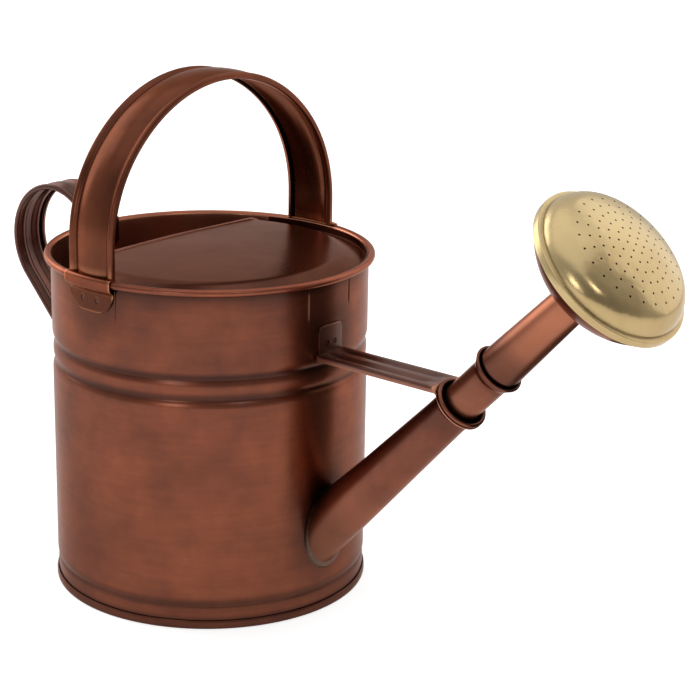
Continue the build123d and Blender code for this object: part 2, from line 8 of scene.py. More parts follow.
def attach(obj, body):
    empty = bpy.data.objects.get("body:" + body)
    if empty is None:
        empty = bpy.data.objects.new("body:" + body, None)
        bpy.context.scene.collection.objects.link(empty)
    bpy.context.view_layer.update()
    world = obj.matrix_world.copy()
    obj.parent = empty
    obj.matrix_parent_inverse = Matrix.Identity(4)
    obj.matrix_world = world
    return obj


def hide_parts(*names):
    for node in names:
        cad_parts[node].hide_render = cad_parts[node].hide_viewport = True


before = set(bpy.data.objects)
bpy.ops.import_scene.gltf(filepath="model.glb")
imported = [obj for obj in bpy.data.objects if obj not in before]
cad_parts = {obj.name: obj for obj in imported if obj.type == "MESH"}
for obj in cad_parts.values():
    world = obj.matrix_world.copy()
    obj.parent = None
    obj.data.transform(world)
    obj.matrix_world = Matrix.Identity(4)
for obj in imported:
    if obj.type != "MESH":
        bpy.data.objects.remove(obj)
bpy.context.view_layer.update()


# ---------------------------------------------------------------- body shell
# One copper-finished steel sheet, rolled up and seamed. Two grooves with a bead
# between them are swaged round it, and its mouth is rolled outwards over a wire.
# Short vertical creases are pressed in below the rim.
mm = 0.001
sheet_gauge = 0.6
wall = 94.7
foot_wall = 94.3
rim_centre = (96.6, 203.5)
rim_turn = 300
around = 360
creases = ((-80.3, 182, 200), (-10.3, 183, 197), (11.2, 186, 199))  # bearing, low end, high end
crease_depth = 0.55
crease_width = 0.45
crease_fade = 2.5
crease_reach = 4
crease_spread = 2.6  # degrees either side that get a finer mesh
crease_band = (181, 201)


def blended(nodes, links, kind, share, first, second):
    """Mix two colours; the share and either colour may be a socket or a value."""
    mix = nodes.new("ShaderNodeMix")
    mix.data_type = "RGBA"
    mix.blend_type = kind
    for socket, value in ((mix.inputs[0], share), (mix.inputs[6], first), (mix.inputs[7], second)):
        if isinstance(value, bpy.types.NodeSocket):
            links.new(value, socket)
        else:
            socket.default_value = value
    return mix.outputs[2]


def ranged(nodes, links, value, low, high, start=0.0, end=1.0):
    """Spread a value between low and high over start to end."""
    spread = nodes.new("ShaderNodeMapRange")
    spread.inputs["From Min"].default_value = low
    spread.inputs["From Max"].default_value = high
    spread.inputs["To Min"].default_value = start
    spread.inputs["To Max"].default_value = end
    links.new(value, spread.inputs["Value"])
    return spread.outputs["Result"]


def noise(nodes, links, place, scale, detail, roughness=0.55):
    """An even cloud pattern over a piece."""
    cloud = nodes.new("ShaderNodeTexNoise")
    cloud.inputs["Scale"].default_value = scale
    cloud.inputs["Detail"].default_value = detail
    cloud.inputs["Roughness"].default_value = roughness
    links.new(place, cloud.inputs["Vector"])
    return cloud.outputs["Fac"]


def copper_finish(
    name,
    dark,
    middle,
    bright,
    grain=(1, 1, 12),
    painted_light_bands=(),
    dark_halos=(),
    inside_light_colour=None,
    shine=(0.26, 0.40),
    worn=None,
    coat=0.35,
):
    """Antiqued copper under lacquer: clouded patina, faint brushing, painted shade in
    the corners and creases, and bare copper on worn edges. Bands of painted light and
    shade are (height in mm, brightness), darker spots round given points are (middle and
    reach in mm), and an inside colour is painted light on the inside of the tank."""
    finish = bpy.data.materials.new(name)
    finish.use_nodes = True
    nodes, links = finish.node_tree.nodes, finish.node_tree.links
    surface = nodes["Principled BSDF"]
    surface.inputs["Metallic"].default_value = 1.0
    surface.inputs["Coat Weight"].default_value = coat
    surface.inputs["Coat Roughness"].default_value = 0.22
    surface.inputs["Specular Tint"].default_value = (0.75, 0.50, 0.42, 1)
    place = nodes.new("ShaderNodeTexCoord").outputs["Object"]

    cloud = noise(nodes, links, place, 9, 4, 0.5)
    mottle = noise(nodes, links, place, 55, 4, 0.6)
    brushing = nodes.new("ShaderNodeMapping")
    brushing.inputs["Scale"].default_value = grain
    links.new(place, brushing.inputs["Vector"])
    streaks = noise(nodes, links, brushing.outputs["Vector"], 30, 4, 0.6)
    patina = nodes.new("ShaderNodeMath")
    patina.operation = "MULTIPLY_ADD"
    patina.inputs[1].default_value = 0.22
    links.new(mottle, patina.inputs[0])
    links.new(ranged(nodes, links, cloud, 0, 1, 0, 0.66), patina.inputs[2])
    blend = nodes.new("ShaderNodeMath")
    blend.operation = "MULTIPLY_ADD"
    blend.inputs[1].default_value = 0.12
    links.new(streaks, blend.inputs[0])
    links.new(patina.outputs[0], blend.inputs[2])
    level = blend.outputs[0]

    colours = nodes.new("ShaderNodeValToRGB")
    ramp = colours.color_ramp
    ramp.elements[0].position = 0.33
    ramp.elements[0].color = (*dark, 1)
    ramp.elements[1].position = 0.68
    ramp.elements[1].color = (*bright, 1)
    ramp.elements.new(0.50).color = (*middle, 1)
    links.new(level, colours.inputs["Fac"])
    colour = colours.outputs["Color"]

    if worn:
        edges = nodes.new("ShaderNodeNewGeometry").outputs["Pointiness"]
        # Painted shade: concave creases are darkened; convex edges get the worn bare copper.
        painted_crease_shade = ranged(nodes, links, edges, 0.40, 0.49, 0.35, 1.0)
        colour = blended(nodes, links, "MULTIPLY", 1.0, colour, painted_crease_shade)
        colour = blended(nodes, links, "MIX", ranged(nodes, links, edges, 0.52, 0.62), colour, (*worn, 1))

    # Painted shade: the colour is darkened where other surfaces are near, also standing for patina
    # gathered in the corners.
    corners = nodes.new("ShaderNodeAmbientOcclusion")
    corners.samples = 8
    corners.inputs["Distance"].default_value = 0.014
    painted_corner_shade = ranged(nodes, links, corners.outputs["AO"], 0.3, 0.95, 0.25)
    colour = blended(nodes, links, "MULTIPLY", 1.0, colour, painted_corner_shade)

    # Painted light and shade by height: the colour is scaled in bands, darker where shade falls and
    # lighter for painted highlights.
    if painted_light_bands:
        height = nodes.new("ShaderNodeSeparateXYZ")
        links.new(place, height.inputs["Vector"])
        levels = nodes.new("ShaderNodeValToRGB")
        steps = levels.color_ramp.elements
        steps[0].position, steps[0].color = 0, (painted_light_bands[0][1],) * 3 + (1,)
        steps[1].position, steps[1].color = 1, (painted_light_bands[-1][1],) * 3 + (1,)
        for reach, shade in painted_light_bands[1:-1]:
            steps.new(reach / painted_light_bands[-1][0]).color = (shade, shade, shade, 1)
        links.new(ranged(nodes, links, height.outputs["Z"], 0, painted_light_bands[-1][0] * mm), levels.inputs["Fac"])
        colour = blended(nodes, links, "MULTIPLY", 1.0, colour, levels.outputs["Color"])
    # Darker round given points, fading out to a given reach.
    for x, y, z, reach in dark_halos:
        apart = nodes.new("ShaderNodeVectorMath")
        apart.operation = "DISTANCE"
        apart.inputs[1].default_value = (x * mm, y * mm, z * mm)
        links.new(place, apart.inputs[0])
        halo = ranged(nodes, links, apart.outputs["Value"], reach * mm / 2, reach * mm, 0.52, 1.0)
        colour = blended(nodes, links, "MULTIPLY", 1.0, colour, halo)

    # Painted light: the inside of the tank is given a brighter colour in place of the light it lacks.
    if inside_light_colour:
        outward = nodes.new("ShaderNodeVectorMath")
        outward.operation = "MULTIPLY"
        outward.inputs[1].default_value = (1, 1, 0)
        links.new(place, outward.inputs[0])
        facing = nodes.new("ShaderNodeVectorMath")
        facing.operation = "DOT_PRODUCT"
        links.new(outward.outputs[0], facing.inputs[0])
        links.new(nodes.new("ShaderNodeTexCoord").outputs["Normal"], facing.inputs[1])
        inside = ranged(nodes, links, facing.outputs["Value"], -0.085, -0.07, 1.0, 0.0)
        colour = blended(nodes, links, "MIX", inside, colour, (*inside_light_colour, 1))
    links.new(colour, surface.inputs["Base Color"])
    links.new(ranged(nodes, links, level, 0.35, 0.65, shine[1], shine[0]), surface.inputs["Roughness"])

    wave = nodes.new("ShaderNodeBump")
    wave.inputs["Strength"].default_value = 0.12
    wave.inputs["Distance"].default_value = 0.004
    links.new(noise(nodes, links, place, 24, 2), wave.inputs["Height"])
    fine = nodes.new("ShaderNodeBump")
    fine.inputs["Strength"].default_value = 0.05
    fine.inputs["Distance"].default_value = 0.0004
    links.new(streaks, fine.inputs["Height"])
    links.new(wave.outputs["Normal"], fine.inputs["Normal"])
    links.new(fine.outputs["Normal"], surface.inputs["Normal"])
    return finish


def sheet_line(points):
    """A sheet's section in the XZ plane: (across, up, bend) points in mm. The bend
    is the length of each side that a corner's rounding takes up."""
    shape = bmesh.new()
    marks = [shape.verts.new((across * mm, 0, up * mm)) for across, up, bend in points]
    for start, end in zip(marks, marks[1:]):
        shape.edges.new((start, end))
    for mark, (across, up, bend) in zip(marks[1:-1], points[1:-1]):
        if bend:
            bmesh.ops.bevel(
                shape,
                geom=[mark],
                offset=bend * mm,
                offset_type="OFFSET",
                affect="VERTICES",
                segments=5,
                profile=0.5,
                material=-1,
            )
    return shape, marks[0], marks[-1]


def curl(shape, end, centre, turn, steps):
    """Carry a section's end round a centre in the XZ plane; returns the new end."""
    turned = bmesh.ops.spin(
        shape,
        geom=[end],
        cent=(centre[0] * mm, 0, centre[1] * mm),
        axis=(0, 1, 0),
        angle=radians(turn),
        steps=steps,
    )
    return [piece for piece in turned["geom_last"] if isinstance(piece, bmesh.types.BMVert)][0]


def spin_full(shape, steps=around):
    """Turn a section all the way round Z and close its seam and poles."""
    bmesh.ops.remove_doubles(shape, verts=shape.verts, dist=1e-6)
    bmesh.ops.spin(
        shape,
        geom=shape.verts[:] + shape.edges[:],
        cent=(0, 0, 0),
        axis=(0, 0, 1),
        angle=2 * pi,
        steps=steps,
        use_merge=True,
    )
    bmesh.ops.remove_doubles(shape, verts=shape.verts, dist=1e-6)
    bmesh.ops.recalc_face_normals(shape, faces=shape.faces)


def bearing_of(point):
    """A point's bearing round the can, in degrees."""
    return -degrees(Vector((1, 0)).angle_signed(point.xy))


def settle(piece, sharp=38):
    """Apply a piece's modifiers and shade it smooth, with its sharp edges kept."""
    bpy.context.view_layer.update()
    ready = piece.evaluated_get(bpy.context.evaluated_depsgraph_get())
    mesh = bpy.data.meshes.new_from_object(ready)
    piece.modifiers.clear()
    piece.data = mesh
    mesh.shade_smooth()
    mesh.set_sharp_from_angle(angle=radians(sharp))


def make_piece(name, shape, gauge=0.0):
    """A mesh object from a shape; a gauge in mm gives its sheet both faces."""
    mesh = bpy.data.meshes.new(name)
    shape.to_mesh(mesh)
    shape.free()
    piece = bpy.data.objects.new(name, mesh)
    bpy.context.scene.collection.objects.link(piece)
    if gauge:
        both = piece.modifiers.new("gauge", "SOLIDIFY")
        both.thickness = gauge * mm
        both.offset = 0
        both.use_even_offset = True
    settle(piece)
    return piece


def fit(piece, finish, body, slot, *nodes):
    """Give a piece its finish, hide the CAD parts it stands for, and attach it to what it moves with."""
    piece.data.materials.clear()
    piece.data.materials.append(finish)
    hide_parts(*nodes)
    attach(piece, body)


body_copper = copper_finish(
    "body_copper",
    dark=(0.105, 0.034, 0.022),
    middle=(0.225, 0.061, 0.029),
    bright=(0.36, 0.100, 0.042),
    # Painted shade in the foot creases, the two grooves and under the rim, darker towards the bottom;
    # painted highlights on the bead and the rolled rim.
    painted_light_bands=(
        (0, 0.9),
        (5.5, 0.45),
        (8, 0.75),
        (11.5, 0.6),
        (14, 0.32),
        (17, 0.45),
        (20, 0.76),
        (55, 0.76),
        (105, 0.90),
        (137, 1.02),
        (138.8, 0.8),
        (140.3, 0.3),
        (142.5, 0.55),
        (144.5, 1.0),
        (148, 1.1),
        (150.3, 0.85),
        (151.8, 0.4),
        (153.3, 0.26),
        (154.7, 0.5),
        (156.8, 0.98),
        (190, 0.95),
        (196.5, 0.7),
        (200, 0.4),
        (201.2, 0.5),
        (202.2, 1.25),
        (206, 1.55),
    ),
    dark_halos=((-2.5, -97, 193, 31), (97, 0, 167, 31), (95, 0, 52, 36)),
    # Painted light on the inside of the tank.
    inside_light_colour=(0.66, 0.27, 0.16),
)

shell, _, shell_top = sheet_line(
    [
        (foot_wall, 1.2, 0),
        (foot_wall, 12.2, 1.0),
        (foot_wall - 0.6, 14.5, 1.0),
        (wall, 17.5, 1.5),
        (wall, 60, 0),
        (wall, 100, 0),
        (wall, 136.6, 2.0),
        (wall - 1.8, 140.1, 1.6),
        (wall + 0.3, 146.4, 3.6),
        (wall - 1.8, 152.7, 1.6),
        (wall, 156.2, 2.0),
        (wall, 181, 0),
        (wall, 201, 0),
        (wall, rim_centre[1], 0),
    ]
)
curl(shell, shell_top, rim_centre, rim_turn, 22)
spin_full(shell)
for bearing, low, high in creases:
    patch = [
        face
        for face in shell.faces
        if low - crease_reach < face.calc_center_median().z / mm < high + crease_reach
        and abs(bearing_of(face.calc_center_median()) - bearing) < crease_spread
        and crease_band[0] < face.calc_center_median().z / mm < crease_band[1]
    ]
    bmesh.ops.subdivide_edges(
        shell, edges=list({edge for face in patch for edge in face.edges}), cuts=7, use_grid_fill=True
    )
for corner in shell.verts:
    bearing_here = bearing_of(corner.co)
    for bearing, low, high in creases:
        off = (bearing_here - bearing) * radians(1) * wall
        up = corner.co.z / mm
        if abs(off) < crease_reach and low - 1 < up < high + 1:
            ends = min(1, (up - low + 1) / crease_fade) * min(1, (high + 1 - up) / crease_fade)
            sink = crease_depth * ends * exp(-((off / crease_width) ** 2))
            corner.co.xy *= 1 - sink / wall
body_shell = make_piece("body_shell_sheet", shell, sheet_gauge)

spout_rise = 46
spout_foot = Vector((0, 0, -45.975))  # where the spout's axis meets the can's, in mm
spout_direction = Vector((cos(radians(spout_rise)), 0, sin(radians(spout_rise))))
along_spout = Matrix.Translation(spout_foot * mm) @ Matrix.Rotation(radians(90 - spout_rise), 4, "Y")
hole_wide = 17.6
hole_narrow = 13.0
hole_length = 150
hole_middle = 155
hole = bmesh.new()
bmesh.ops.create_cone(
    hole,
    cap_ends=True,
    segments=72,
    radius1=hole_wide * mm,
    radius2=hole_narrow * mm,
    depth=hole_length * mm,
    matrix=along_spout @ Matrix.Translation((0, 0, hole_middle * mm)),
)
punch = make_piece("spout_hole_punch", hole)
cut = body_shell.modifiers.new("spout hole", "BOOLEAN")
cut.object = punch
cut.solver = "EXACT"
settle(body_shell)
bpy.data.objects.remove(punch)
fit(body_shell, body_copper, "can", "copper_steel", "body_shell")


# ---------------------------------------------------------------- bottom pan
# A pressed disc with one stiffening step. Its edge is hemmed round the end of the
# wall and stands out as the thin rolled foot that the can rests on.
pan = sheet_line(
    [
        (0, 10.4, 0),
        (71.9, 10.4, 1.2),
        (74.7, 9.0, 1.2),
        (93.6, 9.0, 1.6),
        (93.6, 0.3, 0.8),
        (95.5, 0.3, 0.8),
        (95.5, 3.4, 0.9),
        (95.0, 5.1, 0),
    ]
)[0]
spin_full(pan, 256)
fit(make_piece("bottom_pan", pan, sheet_gauge), body_copper, "can", "copper_steel", "base_plate")


# ---------------------------------------------------------------- top cover
# A half cover over the front of the mouth, pressed nearly flat with a rounded
# shoulder, a trough and an upturned flange along the wall. Its straight edge is
# hemmed over a wire.
cover_copper = copper_finish(
    "cover_copper",
    dark=(0.078, 0.029, 0.019),
    middle=(0.125, 0.042, 0.026),
    bright=(0.20, 0.066, 0.038),
    grain=(1, 1, 1),
    shine=(0.24, 0.34),
    coat=0.2,
)
hem_copper = copper_finish(
    "hem_copper",
    dark=(0.2, 0.07, 0.042),
    middle=(0.30, 0.105, 0.06),
    bright=(0.42, 0.16, 0.09),
)
cover_edge = 33.0
cover_hem = 1.3
cover_flat = 8.0
cover_reach = 91.0
cover_turn = 79.0
cover_top = 206.8
cover_slope = 1.8
cover_fall = 7.2
cover_low = cover_top - cover_fall
cover_flange = 94.0
shoulder_bend = 14.0
cover_pitch = cover_slope / (cover_turn - cover_flat)
cover_half_way = 40
cover = sheet_line(
    [
        (0, cover_top, 0),
        (cover_flat, cover_top, 2),
        (cover_half_way, cover_top - cover_pitch * (cover_half_way - cover_flat), 0),
        (cover_turn, cover_top - cover_slope, 3.2),
        (cover_reach, cover_low, 0.9),
        (cover_flange, cover_low - 0.3, 0.8),
        (cover_flange, cover_low + 4.4, 0),
    ]
)[0]
spin_full(cover, 288)
bmesh.ops.bisect_plane(
    cover,
    geom=cover.verts[:] + cover.edges[:] + cover.faces[:],
    plane_co=(-cover_edge * mm, 0, 0),
    plane_no=(1, 0, 0),
    clear_inner=True,
)
fit(make_piece("top_cover_sheet", cover, sheet_gauge), cover_copper, "can", "copper_steel", "top_cover")


def spin_on(shape, edges, centre, axis, turn, steps):
    """Carry a section's last edges round a bend; returns the new last edges."""
    verts = list({vert for edge in edges for vert in edge.verts})
    turned = bmesh.ops.spin(
        shape,
        geom=verts + edges,
        cent=[value * mm for value in centre],
        axis=axis,
        angle=radians(turn),
        steps=steps,
    )
    return [piece for piece in turned["geom_last"] if isinstance(piece, bmesh.types.BMEdge)]


def draw_on(shape, edges, travel, steps=1):
    """Carry a section's last edges straight on by a travel in mm."""
    for _ in range(steps):
        drawn = bmesh.ops.extrude_edge_only(shape, edges=edges)["geom"]
        edges = [piece for piece in drawn if isinstance(piece, bmesh.types.BMEdge)]
        ends = list({vert for edge in edges for vert in edge.verts})
        bmesh.ops.translate(shape, verts=ends, vec=Vector(travel) * mm / steps)
        edges = [edge for edge in edges if edge.is_boundary]
    return edges


hem_turn = sqrt(cover_turn**2 - cover_edge**2)
hem_top = cover_top - cover_pitch * (cover_edge - cover_flat)
hem_corners = [
    Vector((-cover_edge, -sqrt(cover_reach**2 - cover_edge**2), cover_low)),
    Vector((-cover_edge, -hem_turn, cover_top - cover_slope)),
    Vector((-cover_edge, 0, hem_top)),
]
hem_corners += [Vector((x, -y, z)) for x, y, z in reversed(hem_corners[:-1])]
hem_bends = (shoulder_bend, 20 * shoulder_bend, shoulder_bend)
hem_start = (hem_corners[1] - hem_corners[0]).normalized()
hem_lean = Vector((0, 0, 1)).rotation_difference(hem_start).to_matrix().to_4x4()
hem = bmesh.new()
bmesh.ops.create_circle(
    hem,
    segments=20,
    radius=cover_hem * mm,
    matrix=Matrix.Translation(hem_corners[0] * mm) @ hem_lean,
)
lead, used = hem.edges[:], 0
for bend, before, corner, after in zip(hem_bends, hem_corners, hem_corners[1:], hem_corners[2:]):
    way, next_way = (corner - before).normalized(), (after - corner).normalized()
    turn = way.angle(next_way)
    taken = bend * sin(turn / 2) / cos(turn / 2)
    lead = draw_on(hem, lead, way * ((corner - before).length - used - taken))
    inward = Vector((0, way.z, -way.y))
    lead = spin_on(hem, lead, corner - way * taken + inward * bend, (-1, 0, 0), degrees(turn), 8)
    used = taken
draw_on(hem, lead, next_way * ((after - corner).length - used))
bmesh.ops.remove_doubles(hem, verts=hem.verts, dist=1e-6)
bmesh.ops.holes_fill(hem, edges=[edge for edge in hem.edges if edge.is_boundary])
bmesh.ops.recalc_face_normals(hem, faces=hem.faces)
cover_hem_piece = make_piece("top_cover_hem", hem)
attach(cover_hem_piece, "can")
cover_hem_piece.data.materials.append(hem_copper)


# ---------------------------------------------------------------- carry handle
# A steel strip with a crowned middle and rolled edges, bent to an arch. Each foot
# is flattened over the rolled rim and spot welded to the outside of the wall.
handle_copper = copper_finish(
    "handle_copper",
    dark=(0.090, 0.027, 0.015),
    middle=(0.170, 0.047, 0.021),
    bright=(0.30, 0.085, 0.036),
    grain=(3, 1, 1),
    # Painted shade on the feet below the rim; painted highlight where the strip goes over the rim.
    painted_light_bands=((0, 0.6), (184, 0.6), (195, 0.65), (199, 1.0), (205, 1.5), (208, 1.0), (310, 1.0)),
    shine=(0.22, 0.34),
    worn=(0.56, 0.21, 0.10),
    coat=0.2,
)
strip_gauge = 0.8
handle_offset = -2.5
handle_span = 93.6
handle_top = 310.0
handle_leg_top = 222.0
handle_shoulder = 83.0
handle_half = 17.1
over_rim = 206.2
handle_foot = over_rim - 0.6
handle_inset = handle_span - handle_shoulder
handle_rise = handle_top - handle_leg_top
handle_crest = handle_rise**2 + handle_inset**2 - handle_shoulder**2
handle_crest /= 2 * (handle_rise - handle_shoulder)
handle_turn = degrees(asin(handle_inset / (handle_crest - handle_shoulder)))


def strip_section(half_points):
    """A strip's section from half of its line: (across, out, bend) points in mm."""
    mirrored = [(-across, out, bend) for across, out, bend in reversed(half_points)]
    return sheet_line(mirrored + half_points)[0]


def stand(shape, origin, across, out):
    """Stand a section on a place: its X runs along across, and its Z along out."""
    turn = Matrix((across, out.cross(across), out)).transposed().to_4x4()
    bmesh.ops.transform(shape, matrix=Matrix.Translation(origin * mm) @ turn, verts=shape.verts)


def round_tab(shape, side, low, half, corner):
    """Round a tab's two lower corners. side gives a corner point's place across."""
    for point in shape.verts:
        inside = abs(side(point.co / mm)) - (half - corner)
        if inside > 0:
            floor = low + corner - sqrt(max(0, corner**2 - min(inside, corner) ** 2))
            if point.co.z / mm < floor:
                point.co.z = floor * mm


def open_welds(piece, places, across):
    """Open a tab over its spot welds: places in mm, across the way they look."""
    pits = bmesh.new()
    for spot in places:
        bmesh.ops.create_cone(
            pits,
            cap_ends=True,
            segments=24,
            radius1=weld_radius * mm,
            radius2=weld_radius * mm,
            depth=6 * mm,
            matrix=Matrix.Translation(Vector(spot) * mm) @ Matrix.Rotation(radians(90), 4, across),
        )
    pit = make_piece("weld_pits", pits)
    opening = piece.modifiers.new("welds", "BOOLEAN")
    opening.object = pit
    opening.solver = "EXACT"
    settle(piece)
    bpy.data.objects.remove(pit)


weld_radius = 1.85
weld_height = 192.5
arch = strip_section(
    [
        (handle_half * 0.14, 2.1, 1.5),
        (handle_half * 0.36, 1.75, 2.0),
        (handle_half * 0.56, 0.9, 1.8),
        (handle_half - 4.4, -0.35, 0.9),
        (handle_half - 2.6, 1.35, 0.8),
        (handle_half - 0.5, 1.5, 0.7),
        (handle_half, 0.2, 0.8),
        (handle_half, -1.6, 0.7),
        (handle_half - 2.2, -1.9, 0),
    ]
)
stand(arch, Vector((handle_offset, -handle_span, handle_foot)), Vector((-1, 0, 0)), Vector((0, -1, 0)))
lead = draw_on(arch, arch.edges[:], (0, 0, handle_leg_top - handle_foot), 3)
lead = spin_on(arch, lead, (0, -handle_inset, handle_leg_top), (-1, 0, 0), 90 - handle_turn, 18)
lead = spin_on(arch, lead, (0, 0, handle_top - handle_crest), (-1, 0, 0), 2 * handle_turn, 44)
lead = spin_on(arch, lead, (0, handle_inset, handle_leg_top), (-1, 0, 0), 90 - handle_turn, 18)
draw_on(arch, lead, (0, 0, handle_foot - handle_leg_top), 3)
bmesh.ops.remove_doubles(arch, verts=arch.verts, dist=1e-6)
bmesh.ops.recalc_face_normals(arch, faces=arch.faces)
carry_handle = make_piece("carry_handle_arch", arch, strip_gauge)
fit(carry_handle, handle_copper, "can", "copper_steel", "carry_handle")

tab_half = 18.2
tab_low = 185.2
tab_corner = 13
tab_wall = 95.5  # the middle of a tab's sheet, lying on the wall
saddle_radius = 96
weld_side = 6
for facing, name in ((-1, "carry_handle_foot_front"), (1, "carry_handle_foot_back")):
    foot = sheet_line(
        [
            (handle_span - 0.2, over_rim - 0.9, 0),
            (handle_span + 0.9, over_rim, 0.5),
            (99.3, over_rim, 1.6),
            (99.3, 200.5, 1.4),
            (tab_wall, 196.9, 1.2),
            (tab_wall, tab_low + 8, 0),
            (tab_wall, tab_low, 0),
        ]
    )[0]
    first = degrees(asin((handle_offset * -facing - tab_half) / saddle_radius)) + 90 * facing
    last = degrees(asin((handle_offset * -facing + tab_half) / saddle_radius)) + 90 * facing
    long_edges = [edge for edge in foot.edges if edge.calc_length() > 4 * mm]
    bmesh.ops.subdivide_edges(foot, edges=long_edges, cuts=5)
    bmesh.ops.rotate(foot, verts=foot.verts, matrix=Matrix.Rotation(radians(first), 3, "Z"))
    bmesh.ops.spin(
        foot,
        geom=foot.verts[:] + foot.edges[:],
        cent=(0, 0, 0),
        axis=(0, 0, 1),
        angle=radians(last - first),
        steps=36,
    )
    bmesh.ops.recalc_face_normals(foot, faces=foot.faces)
    round_tab(foot, lambda place: place.x - handle_offset, tab_low, tab_half, tab_corner)
    saddle = make_piece(name, foot, strip_gauge)
    sides = (-weld_side, weld_side)
    open_welds(saddle, [(handle_offset + side, tab_wall * facing, weld_height) for side in sides], "X")
    saddle.data.materials.append(handle_copper)
    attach(saddle, "can")


# ---------------------------------------------------------------- loop handle
# A strip with two grooves and rolled edges. It leaves the wall low down in a
# straight run, turns over in a loop, and hooks over the rim to the inside.
loop_centre = Vector((-127.5, 0, 188))
loop_radius = 36.3
loop_slope = 46.8
loop_tab_half = 13
loop_tab_corner = 5
loop_tab_drop = 17
loop_weld_side = 4.5
loop_weld_up = 6
hook_low = 188.7
hook_wall = 93.9  # the hook's sheet, inside the rim
run_top = loop_centre - Vector((sin(radians(loop_slope)), 0, cos(radians(loop_slope)))) * loop_radius
run_way = Vector((-cos(radians(loop_slope)), 0, sin(radians(loop_slope))))
run_length = (-94.2 - run_top.x) / cos(radians(loop_slope))
run_foot = run_top - run_way * run_length
# Darker copper: partly the loop's own dark patina, partly painted shade for the loop lying in shadow.
loop_patina_and_shade = copper_finish(
    "loop_patina_and_shade",
    dark=(0.055, 0.022, 0.017),
    middle=(0.10, 0.034, 0.022),
    bright=(0.20, 0.062, 0.033),
    grain=(1, 3, 1),
    worn=(0.36, 0.13, 0.07),
    coat=0.6,
)
loop = strip_section(
    [
        (2.4, 1.05, 0.8),
        (5.0, -1.05, 0.8),
        (6.8, -1.05, 0.8),
        (9.7, 1.05, 0.8),
        (11.6, 1.05, 0.7),
        (12.1, 0.2, 0.6),
        (12.1, -1.4, 0.6),
        (10.4, -1.7, 0),
    ]
)
stand(loop, run_foot, Vector((0, 1, 0)), Vector((-sin(radians(loop_slope)), 0, -cos(radians(loop_slope)))))
lead = draw_on(loop, loop.edges[:], run_way * run_length, 3)
landing = degrees(asin((over_rim - 1.0 - loop_centre.z) / loop_radius))
spin_on(loop, lead, loop_centre, (0, 1, 0), 270 - loop_slope - landing, 64)
bmesh.ops.recalc_face_normals(loop, faces=loop.faces)
rear_handle = make_piece("rear_handle_strip", loop, strip_gauge)
fit(rear_handle, loop_patina_and_shade, "can", "copper_steel", "rear_handle")

loop_ends = (
    (
        "rear_handle_tab",
        run_foot.z - loop_tab_drop,
        [(tab_wall, run_foot.z + 3, 0), (tab_wall, run_foot.z - loop_tab_drop, 0)],
    ),
    ("rear_handle_hook", hook_low, [(98.4, 205.75, 0), (hook_wall, 206.8, 0.8), (hook_wall, hook_low, 0)]),
)
for name, low, line in loop_ends:
    end = sheet_line(line)[0]
    long_edges = [edge for edge in end.edges if edge.calc_length() > 9 * mm]
    bmesh.ops.subdivide_edges(end, edges=long_edges, cuts=9)
    reach = degrees(asin(loop_tab_half / 95))
    bmesh.ops.rotate(end, verts=end.verts, matrix=Matrix.Rotation(radians(180 - reach), 3, "Z"))
    bmesh.ops.spin(
        end,
        geom=end.verts[:] + end.edges[:],
        cent=(0, 0, 0),
        axis=(0, 0, 1),
        angle=radians(2 * reach),
        steps=28,
    )
    bmesh.ops.recalc_face_normals(end, faces=end.faces)
    round_tab(end, lambda place: place.y, low, loop_tab_half, loop_tab_corner)
    tab = make_piece(name, end, strip_gauge)
    sides = (-loop_weld_side, loop_weld_side)
    open_welds(tab, [(-line[-1][0], side, low + loop_weld_up) for side in sides], "Y")
    tab.data.materials.append(loop_patina_and_shade)
    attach(tab, "can")


# ---------------------------------------------------------------- lower spout
# A tapered tube, soldered into the wall. Its upper end is a straight socket, and
# its mouth is belled out and its lip rolled.
spout_copper = copper_finish(
    "spout_copper",
    dark=(0.13, 0.042, 0.026),
    middle=(0.235, 0.070, 0.037),
    bright=(0.35, 0.108, 0.052),
    grain=(3, 8, 3),
    dark_halos=[
        (*(spout_foot + spout_direction * place), reach)
        for place, reach in ((317, 22), (264, 20), (138, 40))
    ],
    worn=(0.56, 0.20, 0.10),
)
wall_cross = 136.76  # distances along the spout's axis from the can's axis, in mm
socket_start = 258.26
socket_end = 268.26
lower_mouth = 274.26
root_radius = 15.9
mouth_radius = 12.1
tube_middle = sheet_gauge / 2
tube_taper = (root_radius - mouth_radius) / (socket_start - wall_cross)
root_start = 118


def spout_tube(line, lip=None, steps=96):
    """A turned tube on the spout's axis: (radius, distance, bend) points in mm, and
    a rolled lip given as (radius of the roll, turn)."""
    tube, _, tube_end = sheet_line(line)
    if lip:
        curl(tube, tube_end, (line[-1][0] + lip[0], line[-1][1]), lip[1], 14)
    spin_full(tube, steps)
    return tube


lower = spout_tube(
    [
        (root_radius - tube_middle + tube_taper * (wall_cross - root_start), root_start, 0),
        (root_radius - tube_middle - tube_taper * 60, wall_cross + 60, 0),
        (mouth_radius - tube_middle, socket_start, 2.0),
        (mouth_radius - tube_middle, socket_end, 1.0),
        (13.6, socket_end + 3.5, 1.0),
        (13.6, lower_mouth, 0),
    ],
    lip=(1.0, 245),
)
bmesh.ops.transform(lower, matrix=along_spout, verts=lower.verts)
for point in lower.verts:
    place = point.co / mm
    if (place - spout_foot).dot(spout_direction) < root_start + 1:
        run = place.x * spout_direction.x
        gap = 92.4**2 - place.x**2 - place.y**2
        slide = (sqrt(run**2 + spout_direction.x**2 * gap) - run) / spout_direction.x**2
        point.co += spout_direction * slide * mm
fit(make_piece("spout_lower_tube", lower, sheet_gauge), spout_copper, "can", "copper_steel", "spout_lower")


